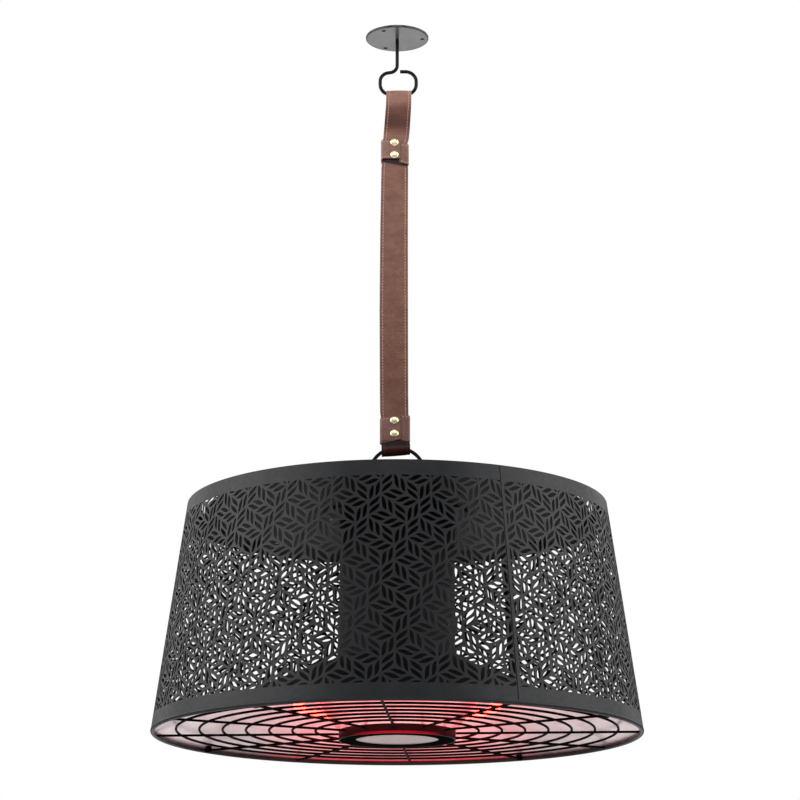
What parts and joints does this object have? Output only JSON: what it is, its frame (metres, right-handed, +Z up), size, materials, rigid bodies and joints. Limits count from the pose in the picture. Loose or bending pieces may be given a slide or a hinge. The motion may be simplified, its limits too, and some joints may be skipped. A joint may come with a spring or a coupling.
{
  "type": "hanging patio heater",
  "caption": "Hanging electric patio heater: wide perforated cone shade with a glowing ring in a trough reflector and wire guard, hung by a ring and leather strap from a ceiling hook.",
  "frame": {"origin": "middle of the ceiling plate's top face, where the heater meets the ceiling", "axes": "+Z up into the ceiling; the heater hangs along -Z; the hook's loop and the ring lie across X; -Y is the near side in the picture"},
  "size_m": [0.5999, 0.6, 0.9226],
  "materials": {
    "plate_steel": "semi-gloss rolled steel",
    "black_wire": "satin black coated wire",
    "strap_leather": "waxed brown leather, sewn double, with pale stitching",
    "rivet_brass": "polished",
    "bright_steel": "zinc-plated",
    "shade_black": "fine satin black powder coat, perforated with leaf-shaped slots",
    "inner_black": "matt black coat",
    "reflector_bright": "bright rolled sheet",
    "element_glow": "heat-darkened sheath, glowing red when on",
    "ceramic_white": "unglazed",
    "guard_black": "satin black coated wire",
    "bezel_black": "fine matt",
    "lens_pale": "frosted",
    "board_green": "solder mask",
    "chip_yellow": "phosphor gel",
    "control_grey": "moulded",
    "block_white": "moulded",
    "gland_black": "moulded",
    "fibre_white": "pressed fibre"
  },
  "bodies": {
    "ceiling_mount": {"ceiling_plate": "plate_steel", "ceiling_hook": "black_wire"},
    "strap": {"strap": "strap_leather", "upper_keeper": "strap_leather", "lower_keeper": "strap_leather", "strap_rivets": "rivet_brass"},
    "ring": {"suspension_ring": "black_wire"},
    "heater": {"eye_bolt": "bright_steel", "eye_washer": "bright_steel", "eye_lock_nut": "bright_steel", "top_disc": "inner_black", "disc_brackets": "inner_black", "bracket_screws": "bright_steel", "shade_panel_1": "shade_black", "shade_panel_2": "shade_black", "shade_panel_3": "shade_black", "seam_strips": "shade_black", "top_flange": "shade_black", "bottom_hem": "shade_black", "column_tube": "inner_black", "column_collar": "inner_black", "column_screws": "bright_steel", "reflector": "reflector_bright", "casing_cone": "inner_black", "insulation_pad": "fibre_white", "heating_ring": "element_glow", "terminal_bushings": "ceramic_white", "terminal_nuts": "bright_steel", "element_holders": "bright_steel", "thermal_cutout": "bright_steel", "guard_spokes": "guard_black", "guard_rings": "guard_black", "guard_clips": "guard_black", "housing_shell": "inner_black", "housing_spigot": "bright_steel", "spigot_screws": "bright_steel", "lens_bezel": "bezel_black", "lamp_lens": "lens_pale", "led_board": "board_green", "led_chips": "chip_yellow", "board_posts": "control_grey", "chassis_plate": "bright_steel", "control_box": "control_grey", "terminal_block": "block_white", "cable_gland": "gland_black", "gland_lock_nut": "gland_black"}
  },
  "joints": [
    {"name": "strap_swing", "type": "hinge", "parent": "ceiling_mount", "child": "strap", "pos_m": [0, 0, -0.0805], "axis": [1, 0, 0], "range_deg": [-30, 30]},
    {"name": "ring_swing", "type": "hinge", "parent": "strap", "child": "ring", "pos_m": [0, 0, -0.555], "axis": [1, 0, 0], "range_deg": [-35, 35]},
    {"name": "heater_sway", "type": "hinge", "parent": "ring", "child": "heater", "pos_m": [0, 0, -0.59], "axis": [0, 1, 0], "range_deg": [-15, 15]}
  ]
}
